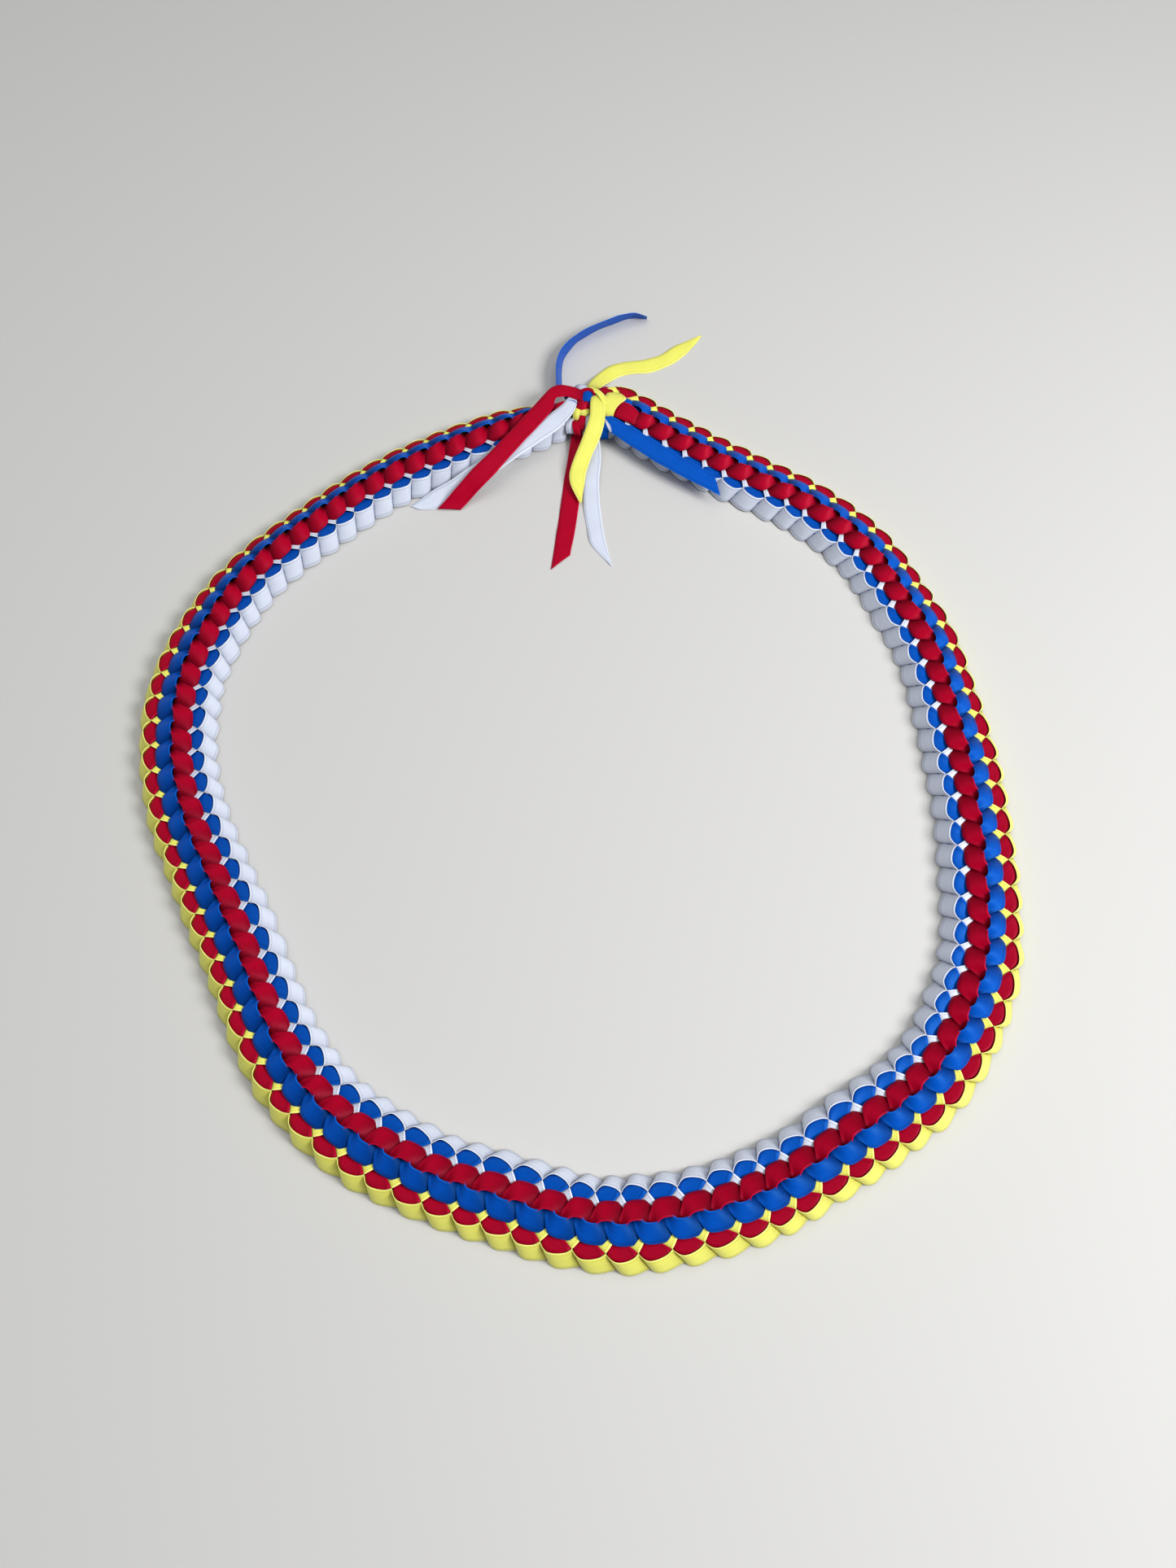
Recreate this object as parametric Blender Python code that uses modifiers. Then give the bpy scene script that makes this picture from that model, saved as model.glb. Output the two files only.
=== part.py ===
"""Braided ribbon lei: four satin ribbons worked into one flat band and knotted into a ring.

Metres, +Z up. The lei lies on its back, knot at +Y, with its lowest faces at z = 0.
Section sizes below are in millimetres and are turned into metres when a mesh is made.
"""
import math

import bpy
import numpy as np
from mathutils import Matrix, Vector

MM = 0.001
THICKNESS = 0.6
TURNS = 48

# Ring centre line, knot to knot, clockwise from above, in mm from the middle of the ring
RING_ROUTE = [
    (22, 185), (59, 158.5), (92, 137.5), (125, 117), (151.5, 90), (168, 57), (179, 25),
    (186.7, -44), (183.5, -114), (171.5, -149), (151, -178), (120, -200), (86, -220), (54, -231),
    (13, -235), (-28, -225), (-62, -214), (-97, -194), (-123, -165), (-147, -118), (-163, -87.5),
    (-179, -54.5), (-187.5, -22), (-188, 15.5), (-176, 54), (-158.6, 82), (-132, 108.6),
    (-101, 134.6), (-67, 154.5), (-37, 168), (-8, 181),
]
ROUTE_STEPS = 24
TANGENT_WINDOW = 5.0
END_TAPER = 26.0
END_WIDTH = 0.80
START_GAP = 3.0
LAST_TURNS = 1.75

# One turn of an edge ribbon: two selvage points for each station, as (turns along, mm out, mm up)
EDGE_TURN = [
    ((0.26, 4.2, 6.9), (0.58, 4.2, 6.5)),
    ((-0.14, 6.8, 8.2), (0.36, 6.8, 6.5)),
    ((0.00, 11.0, 8.5), (0.30, 9.8, 6.6)),
    ((-0.06, 13.1, 8.8), (0.14, 11.9, 8.5)),
    ((0.04, 14.8, 9.0), (0.88, 14.8, 9.0)),
    ((0.00, 17.5, 2.0), (0.80, 18.3, 2.0)),
    ((0.04, 17.1, 0.5), (0.72, 17.9, 0.5)),
    ((0.20, 14.8, 0.3), (0.56, 14.8, 0.3)),
    ((1.30, 4.6, 0.3), (1.56, 4.6, 0.3)),
]

# One turn of a core ribbon: patch on its home side, hump on the far side, and the way back below
CORE_TURN = [
    ((0.54, 11.8, 1.4), (0.84, 11.8, 1.4)),
    ((0.31, 11.9, 7.9), (0.82, 12.4, 6.4)),
    ((0.06, 10.3, 9.6), (0.93, 11.2, 6.5)),
    ((0.46, 6.2, 7.4), (0.98, 6.2, 5.9)),
    ((1.21, 1.3, 6.0), (1.50, 1.3, 6.0)),
    ((1.34, -5.2, 8.3), (1.54, -2.6, 8.4)),
    ((1.86, -8.3, 9.7), (1.92, -0.5, 11.0)),
    ((2.30, -6.2, 10.0), (2.34, -0.5, 11.1)),
    ((2.56, -1.8, 9.6), (2.58, 0.5, 9.0)),
    ((2.62, -0.5, 1.7), (2.62, 1.9, 1.7)),
    ((1.86, 3.6, 1.4), (2.12, 4.4, 1.4)),
]

# Free ends: pairs of selvage points from the knot to the cut end, as (mm right, mm back, mm up)
TAILS = {
    "left_red_tail": [
        ((-2.8, 190.0, 13.6), (-2.8, 183.7, 12.6)), ((-11.4, 189.0, 13.8), (-9.3, 182.3, 13.2)),
        ((-19.8, 177.9, 13.8), (-14.0, 169.7, 13.3)), ((-38.2, 151.8, 13.5), (-31.3, 147.1, 12.7)),
        ((-46.1, 142.0, 12.8), (-39.2, 136.6, 11.2)), ((-53.9, 134.2, 10.6), (-46.5, 129.5, 7.8)),
        ((-61.4, 126.6, 6.6), (-52.6, 124.5, 4.0)), ((-71.0, 118.3, 1.8), (-58.6, 118.4, 0.5)),
    ],
    "left_white_tail": [
        ((-3.0, 182.5, 11.9), (1.0, 178.0, 11.7)), ((-9.7, 174.7, 12.1), (-3.5, 167.4, 11.9)),
        ((-15.7, 168.9, 12.1), (-9.6, 160.4, 11.6)), ((-25.6, 160.3, 12.0), (-17.3, 155.3, 11.2)),
        ((-45.4, 144.7, 10.8), (-39.3, 137.4, 8.4)), ((-63.3, 133.2, 6.6), (-57.5, 127.1, 2.2)),
        ((-79.9, 125.0, 0.8), (-71.0, 118.4, 0.4)), ((-85.7, 120.1, 0.4), (-80.5, 118.2, 0.4)),
    ],
    "front_yellow_tail": [
        ((9.2, 179.0, 12.6), (16.6, 178.2, 12.6)), ((9.1, 172.4, 12.6), (17.2, 172.1, 12.4)),
        ((4.3, 157.2, 8.6), (13.9, 156.8, 8.4)), ((-2.1, 139.0, 4.4), (6.5, 139.0, 4.4)),
        ((-0.8, 129.7, 3.4), (5.2, 131.3, 3.4)), ((3.5, 121.2, 2.8), (4.6, 121.2, 2.8)),
    ],
    "front_red_tail": [
        ((1, 178, 7.0), (8, 178, 7.0)), ((-3, 150, 0.8), (6, 148, 0.8)),
        ((-5, 137, 0.4), (4, 128, 0.4)), ((-8, 105, 0.4), (1, 104, 0.4)),
        ((-11, 81, 0.4), (-1, 90, 0.4)),
    ],
    "front_white_tail": [
        ((3, 176, 9.0), (10, 175, 9.0)), ((6, 152, 2.6), (14, 150, 2.6)),
        ((5, 141, 2.0), (12, 134, 2.0)), ((6, 116, 0.4), (15, 112, 0.4)),
        ((9, 97, 0.4), (18, 92, 0.4)), ((20, 83, 0.4), (18, 90, 0.4)),
    ],
    "right_blue_tail": [
        ((18.8, 172.6, 10.8), (17.8, 164.8, 10.2)), ((27.6, 166.6, 11.0), (22.8, 159.4, 10.2)),
        ((47.4, 151.6, 11.0), (42.3, 143.2, 10.0)), ((65.8, 138.4, 10.9), (60.8, 130.6, 9.8)),
        ((73.6, 133.8, 10.6), (76.6, 120.9, 9.0)),
    ],
    "back_yellow_tail": [
        ((8, 201, 3.4), (15, 199, 3.4)), ((19, 216, 0.4), (25, 208, 0.4)),
        ((30, 220, 0.4), (35, 211, 0.4)), ((44, 223, 0.4), (47, 214, 0.4)),
        ((58, 232, 0.4), (60, 223, 0.4)), ((71, 238, 0.4), (66, 228, 0.4)),
    ],
    "back_blue_tail": [
        ((-6.4, 200.8, 2.0), (-9.4, 201.6, 8.6)), ((-6.7, 212.0, 0.6), (-9.3, 210.9, 8.6)),
        ((-5.5, 221.7, 0.4), (-7.1, 219.7, 8.6)), ((-1.4, 229.5, 0.4), (-2.4, 227.2, 8.8)),
        ((3.2, 235.2, 0.4), (3.2, 232.7, 9.0)), ((10.5, 241.0, 0.4), (11.0, 238.2, 9.0)),
        ((19.4, 246.2, 0.4), (19.7, 242.9, 8.8)), ((34.8, 252.3, 0.5), (34.5, 248.9, 7.4)),
        ((41.8, 251.7, 0.5), (41.5, 248.9, 4.4)),
    ],
}

# The knot: height of each level and its share of the full width
KNOT_MIDDLE = (6.5, 189.0)
KNOT_HALF = (7.2, 7.8)
KNOT_LEVELS = [(0.3, 0.74), (1.6, 0.92), (4.0, 1.0), (6.8, 0.97), (9.2, 0.84), (11.0, 0.55)]
KNOT_SIDES = 16
KNOT_LUMPS = 0.07

COLOURS = {
    "white": (0.79, 0.82, 0.88),
    "blue": (0.00, 0.10, 0.50),
    "red": (0.42, 0.003, 0.025),
    "yellow": (0.85, 0.80, 0.20),
}


def smooth_route(points, steps):
    """Points on a Catmull-Rom curve through the given ones, with their distance from the start."""
    given = np.array(points, dtype=float)
    padded = np.vstack([2 * given[0] - given[1], given, 2 * given[-1] - given[-2]])
    along = []
    for index in range(len(given) - 1):
        before, start, end, after = padded[index:index + 4]
        for step in range(steps):
            x = step / steps
            along.append(0.5 * (2 * start + (end - before) * x
                                + (2 * before - 5 * start + 4 * end - after) * x ** 2
                                + (3 * start - before - 3 * end + after) * x ** 3))
    along.append(given[-1])
    along = np.array(along)
    lengths = np.hypot(*np.diff(along, axis=0).T)
    return along, np.concatenate([[0.0], np.cumsum(lengths)])


RING_POINTS, RING_DISTANCE = smooth_route(RING_ROUTE, ROUTE_STEPS)
RING_LENGTH = RING_DISTANCE[-1]
PITCH = (RING_LENGTH - START_GAP) / (TURNS + LAST_TURNS)


def ring_centre(distance):
    """Point of the ring centre line at a distance from the knot."""
    return np.array([np.interp(distance, RING_DISTANCE, RING_POINTS[:, axis]) for axis in (0, 1)])


def band_width(distance):
    """Share of the full width: the band is drawn in where it runs into the knot."""
    near = min(distance, RING_LENGTH - distance) / END_TAPER
    near = min(max(near, 0.0), 1.0)
    return END_WIDTH + (1 - END_WIDTH) * near * near * (3 - 2 * near)


def place(turns, across, up):
    """World point for a place on the band: turns along it, mm outwards and mm up."""
    distance = START_GAP + turns * PITCH
    along = min(max(distance, 0.0), RING_LENGTH)
    ahead = ring_centre(along + TANGENT_WINDOW)
    behind = ring_centre(along - TANGENT_WINDOW)
    heading = ahead - behind
    heading = heading / np.hypot(*heading)
    outward = np.array([-heading[1], heading[0]])
    middle = ring_centre(distance) + outward * across * band_width(distance)
    overrun = min(distance, 0.0) + max(distance - RING_LENGTH, 0.0)
    middle = middle + heading * overrun
    return Vector((middle[0], middle[1], up)) * MM


def material(colour):
    """Satin in one colour."""
    made = bpy.data.materials.new("satin_" + colour)
    made.use_nodes = True
    shader = made.node_tree.nodes["Principled BSDF"]
    shader.inputs["Base Color"].default_value = (*COLOURS[colour], 1)
    shader.inputs["Roughness"].default_value = 0.42
    shader.inputs["Metallic"].default_value = 0.0
    return made


def ribbon(name, stations, satin, collection):
    """Ribbon lofted through pairs of selvage points, cut into triangles alike on both faces."""
    mesh = bpy.data.meshes.new(name)
    corners = [point for pair in stations for point in pair]
    faces = []
    for index in range(len(stations) - 1):
        left, right, next_left, next_right = (2 * index + step for step in range(4))
        faces.append((left, right, next_right))
        faces.append((left, next_right, next_left))
    mesh.from_pydata(corners, [], faces)
    mesh.materials.append(satin)
    piece = bpy.data.objects.new(name, mesh)
    collection.objects.link(piece)
    skin = piece.modifiers.new("thickness", "SOLIDIFY")
    skin.thickness = THICKNESS * MM
    skin.offset = 0
    return piece


def braided(turn, side, shift, first, last, skip, drop):
    """Stations of one ribbon all along the band, less the ones skipped at either end."""
    stations = []
    for number in range(first, last):
        for along_turn in turn:
            stations.append([place(number + shift + along, side * out, up)
                             for along, out, up in along_turn])
    return stations[skip:len(stations) - drop]


def knot(satin, collection):
    """Rounded bundle of the four ribbons where start and finish are tied."""
    corners = []
    for level, (up, share) in enumerate(KNOT_LEVELS):
        for side in range(KNOT_SIDES):
            angle = 2 * math.pi * side / KNOT_SIDES
            reach = share * (1 + KNOT_LUMPS * math.cos(3 * angle + 0.8 * level))
            corners.append((KNOT_MIDDLE[0] + KNOT_HALF[0] * reach * math.cos(angle),
                            KNOT_MIDDLE[1] + KNOT_HALF[1] * reach * math.sin(angle), up))
    faces = [tuple(reversed(range(KNOT_SIDES)))]
    for level in range(len(KNOT_LEVELS) - 1):
        for side in range(KNOT_SIDES):
            low = level * KNOT_SIDES + side
            low_next = level * KNOT_SIDES + (side + 1) % KNOT_SIDES
            faces.append((low, low_next, low_next + KNOT_SIDES))
            faces.append((low, low_next + KNOT_SIDES, low + KNOT_SIDES))
    top = (len(KNOT_LEVELS) - 1) * KNOT_SIDES
    faces.append(tuple(range(top, top + KNOT_SIDES)))
    mesh = bpy.data.meshes.new("knot")
    mesh.from_pydata([Vector(corner) * MM for corner in corners], [], faces)
    mesh.materials.append(satin)
    collection.objects.link(bpy.data.objects.new("knot", mesh))


def rest_on_origin(collection):
    """Move every piece alike, so the lei stands on z = 0 with the middle of its bounds at x = y = 0."""
    evaluated = bpy.context.evaluated_depsgraph_get()
    corners = np.array([corner for piece in collection.objects
                        for corner in piece.evaluated_get(evaluated).bound_box])
    low = corners.min(axis=0)
    high = corners.max(axis=0)
    middle = (low + high) / 2
    for piece in collection.objects:
        piece.data.transform(Matrix.Translation((-middle[0], -middle[1], -low[2])))


def clear_scene():
    for item in list(bpy.data.objects):
        bpy.data.objects.remove(item)


def main():
    clear_scene()
    lei = bpy.data.collections.new("ribbon_lei")
    bpy.context.scene.collection.children.link(lei)
    satin = {colour: material(colour) for colour in COLOURS}
    ribbon("ribbon_white", braided(EDGE_TURN, -1, 0.0, 0, TURNS + 1, 1, 0), satin["white"], lei)
    ribbon("ribbon_yellow", braided(EDGE_TURN, 1, 0.5, 0, TURNS + 1, 1, 1), satin["yellow"], lei)
    ribbon("ribbon_blue", braided(CORE_TURN, -1, 0.0, -1, TURNS + 1, 4, 6), satin["blue"], lei)
    ribbon("ribbon_red", braided(CORE_TURN, 1, 0.5, -1, TURNS, 4, 3), satin["red"], lei)
    knot(satin["blue"], lei)
    for name, pairs in TAILS.items():
        colour = name.split("_")[1]
        stations = [[Vector(point) * MM for point in pair] for pair in pairs]
        ribbon(name, stations, satin[colour], lei)
    rest_on_origin(lei)


main()
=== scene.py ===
"""Looks of a braided ribbon lei: four satin ribbons braided flat and tied into a ring."""
import math

import bpy
import numpy as np
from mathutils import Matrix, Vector


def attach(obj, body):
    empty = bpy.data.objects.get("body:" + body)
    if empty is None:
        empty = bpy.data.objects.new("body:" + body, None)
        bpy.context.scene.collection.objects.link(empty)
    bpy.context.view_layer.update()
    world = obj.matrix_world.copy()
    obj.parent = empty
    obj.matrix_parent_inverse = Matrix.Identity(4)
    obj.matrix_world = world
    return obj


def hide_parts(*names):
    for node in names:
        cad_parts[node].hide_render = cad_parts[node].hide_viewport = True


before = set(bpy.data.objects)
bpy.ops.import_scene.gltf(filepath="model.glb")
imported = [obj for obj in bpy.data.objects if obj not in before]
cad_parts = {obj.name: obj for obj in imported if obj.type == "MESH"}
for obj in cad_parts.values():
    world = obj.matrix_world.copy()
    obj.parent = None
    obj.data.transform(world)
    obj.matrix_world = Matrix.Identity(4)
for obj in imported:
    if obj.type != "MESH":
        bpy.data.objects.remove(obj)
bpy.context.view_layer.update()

# A millimetre in metres. Lengths are in mm, except where a comment says metres.
MM = 0.001

# Ring centre line, knot to knot, clockwise from above, and the middle that the lei is moved to
RING_ROUTE = [
    (10, 187.8), (22, 185), (59, 158.5), (92, 137.5), (125, 117), (151.5, 90), (168, 57), (179, 25),
    (186.7, -44), (183.5, -114), (171.5, -149), (151, -178), (120, -200), (86, -220), (54, -231),
    (13, -235), (-28, -225), (-62, -214), (-97, -194), (-123, -165), (-147, -118), (-163, -87.5),
    (-179, -54.5), (-187.5, -22), (-188, 15.5), (-176, 54), (-158.6, 82), (-132, 108.6),
    (-101, 134.6), (-67, 154.5), (-37, 168), (-8, 180), (3.8, 180.2),
]
RING_MIDDLE = (-1.071, -0.626)
ROUTE_STEPS = 16

# Ribbon, and how many turns of the braid fill the ring from where it leaves the knot.
# TURN_LENGTH is the length along the ring that the turns' stations are drawn for.
RIBBON_WIDTH = 10.0
RIBBON_THICKNESS = 0.25
START_GAP = 3.0
TURNS = 100
SPARE_TURNS = 0.5
TURN_LENGTH = 12.3

# Steps of the meshes: across a ribbon, along a turn, in mm along a free end and along a wrap, and
# the fewest rows of either. LEAST_GAP keeps stations apart that share a place.
ACROSS_STEPS = 8
TURN_STEPS = 54
TAIL_STEP = 1.3
WRAP_STEP = 0.6
LEAST_ROWS = 6
LEAST_GAP = 0.4

# Stations of a ribbon turn: two selvage points as (mm along, mm out, mm up), the rise of the
# ribbon's middle over the straight line between them, how far the first selvage rolls down, how far
# the middle swells outwards, and how much painted crease shade darkens it there, from 0 to 1
EDGE_TURN = [
    ((-6.8, 5.0, 5.2), (1.8, 2.6, 4.2), 0.0, 0.0, 0.0, 0.8),
    ((-5.2, 5.4, 7.4), (3.0, 2.4, 6.0), 0.1, 0.0, 0.0, 0.4),
    ((-3.0, 6.8, 8.4), (4.2, 3.4, 6.4), 0.2, 0.0, 0.0, 0.1),
    ((-1.3, 9.2, 8.8), (5.2, 5.4, 6.2), 0.2, 0.0, 0.0, 0.0),
    ((-0.2, 10.7, 8.9), (5.2, 8.0, 5.4), 0.1, 0.0, 0.0, 0.1),
    ((0.1, 11.0, 9.0), (2.6, 12.4, 1.6), 0.0, 0.0, 0.0, 0.3),
    ((0.3, 11.3, 9.0), (-3.6, 16.4, 1.4), 0.2, 0.0, 0.0, 0.55),
    ((2.0, 12.8, 9.2), (-2.2, 17.2, 0.9), 0.4, 0.0, 0.0, 0.25),
    ((4.4, 13.8, 9.3), (0.2, 18.1, 0.7), 0.6, 0.0, 0.0, 0.05),
    ((6.8, 14.3, 9.3), (2.8, 18.8, 0.6), 0.6, 0.0, 0.0, 0.0),
    ((8.8, 14.3, 9.2), (4.6, 18.9, 0.6), 0.5, 0.0, 0.0, 0.0),
    ((10.2, 13.7, 9.1), (5.9, 18.6, 0.6), 0.4, 0.0, 0.0, 0.0),
    ((11.3, 12.8, 8.9), (6.9, 18.1, 0.6), 0.3, 0.0, 0.0, 0.05),
    ((12.1, 11.8, 8.6), (7.7, 17.3, 0.5), 0.1, 0.0, 0.0, 0.2),
    ((12.4, 11.3, 7.6), (7.9, 16.2, 0.3), 0.0, 0.0, 0.0, 0.6),
    ((13.0, 11.4, 4.6), (7.6, 14.8, 0.2), 0.0, 0.0, 0.0, 1.0),
    ((14.4, 10.6, 1.4), (7.2, 12.6, 0.2), 0.0, 0.0, 0.0, 1.0),
    ((15.6, 8.0, 0.4), (7.2, 8.6, 0.2), 0.0, 0.0, 0.0, 1.0),
    ((15.6, 4.4, 0.6), (6.6, 4.8, 0.5), 0.0, 0.0, 0.0, 1.0),
    ((14.4, 2.6, 2.4), (5.8, 4.2, 2.6), 0.0, 0.0, 0.0, 1.0),
]
CORE_TURN = [
    ((5.5, 12.2, 1.3), (14.0, 13.0, 1.3), 0.0, 0.0, 1.0, 1.0),
    ((2.8, 12.9, 4.2), (12.4, 13.6, 3.4), 0.0, 0.0, 1.4, 0.9),
    ((1.0, 12.5, 7.4), (11.4, 13.2, 6.2), 0.0, 0.0, 2.0, 0.55),
    ((0.2, 11.3, 8.5), (11.5, 11.9, 7.8), 0.1, 0.0, 2.6, 0.4),
    ((1.7, 9.8, 8.6), (12.0, 10.6, 8.0), 0.0, 0.0, 2.2, 0.25),
    ((3.9, 8.0, 7.9), (12.8, 8.6, 7.2), -0.1, 0.0, 1.0, 0.15),
    ((5.9, 6.0, 6.9), (14.4, 7.0, 6.2), 0.0, 0.0, 0.3, 0.3),
    ((8.6, 2.2, 6.0), (16.8, 6.2, 5.8), 0.0, 0.0, 0.0, 0.9),
    ((11.6, -0.8, 5.8), (19.4, 4.0, 6.4), 0.0, 0.0, 0.0, 1.0),
    ((13.2, -3.2, 6.0), (19.8, 1.8, 8.0), 0.0, 0.0, 0.0, 1.0),
    ((14.9, -5.2, 6.5), (20.2, 0.9, 9.7), 0.1, 0.0, 0.0, 1.0),
    ((16.9, -7.0, 7.3), (21.4, 0.2, 11.0), 0.2, 0.1, 0.0, 0.9),
    ((19.6, -8.1, 8.1), (23.0, -0.4, 12.0), 0.3, 0.2, 0.0, 0.6),
    ((22.9, -8.5, 8.6), (25.2, -0.6, 12.6), 0.4, 0.2, 0.0, 0.3),
    ((26.0, -8.4, 8.9), (27.6, -0.1, 12.5), 0.4, 0.2, 0.0, 0.05),
    ((28.3, -7.8, 9.1), (29.2, 1.6, 11.5), 0.4, 0.2, 0.0, 0.0),
    ((29.8, -6.2, 9.4), (30.2, 3.8, 10.1), 0.4, 0.2, 0.0, 0.1),
    ((31.0, -3.8, 9.9), (30.8, 5.8, 8.5), 0.3, 0.2, 0.0, 0.4),
    ((32.4, -1.0, 10.2), (30.9, 7.2, 6.2), 0.2, 0.2, 0.0, 0.85),
    ((33.4, 1.0, 8.0), (30.8, 7.8, 3.4), 0.1, 0.1, 0.0, 1.0),
    ((33.0, 1.6, 4.0), (30.2, 8.2, 1.8), 0.0, 0.0, 0.0, 1.0),
    ((28.6, 2.4, 1.8), (30.6, 10.4, 1.2), 0.0, 0.0, 0.0, 1.0),
    ((21.6, 5.4, 1.2), (28.6, 11.8, 1.2), 0.0, 0.0, 0.5, 1.0),
]

# Each braided ribbon: colour, stations, side of the band (1 is outside), where it starts in turns,
# and whether the next turn shows the ribbon's other face
BRAID = [
    ("white", EDGE_TURN, -1, 0.0, True), ("yellow", EDGE_TURN, 1, 0.5, True),
    ("blue", CORE_TURN, -1, 0.0, False), ("red", CORE_TURN, 1, 0.5, False),
]

# Unevenness of the braiding, in metres: small bumps, slow drifts along it, and drifts of width and
# height as shares. Then how close the ends of two cells are joined, and the band's lowest height.
SEED = 7
SEED_STEP = 3.7
UNEVENNESS = 0.0006
BUMPS_A_METRE = 85.0
DRIFTS_A_METRE = 26.0
DRIFT_ALONG = 0.0028
DRIFT_WIDTH = 0.10
DRIFT_HEIGHT = 0.12
CELL_JOINT = 0.00002
BAND_OVER_TABLE = 0.0002

# Slump of the band's outer side: (from and to, as shares of the ring, then how much at each), how
# many metres out it begins, and the shares of height and of width lost for each metre beyond that
RIGHT_ARM_SLUMP = (0.15, 0.30, 0.6, 0.0)
LEFT_ARM_SLUMP = (0.76, 0.87, 0.0, 1.0)
SLUMP_BEYOND = 0.005
SLUMP_DOWN = 28.0
SLUMP_IN = 0.30

# Pinch of the outer side where the braid ends, as (near and far in metres, then how much at each),
# narrowing of the whole band at both ends, and the length that its heading is taken over
LAST_PINCH = (0.005, 0.050, 0.60, 0.0)
END_TAPER = 26.0
END_WIDTH = 0.80
TANGENT_WINDOW = 5.0

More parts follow.
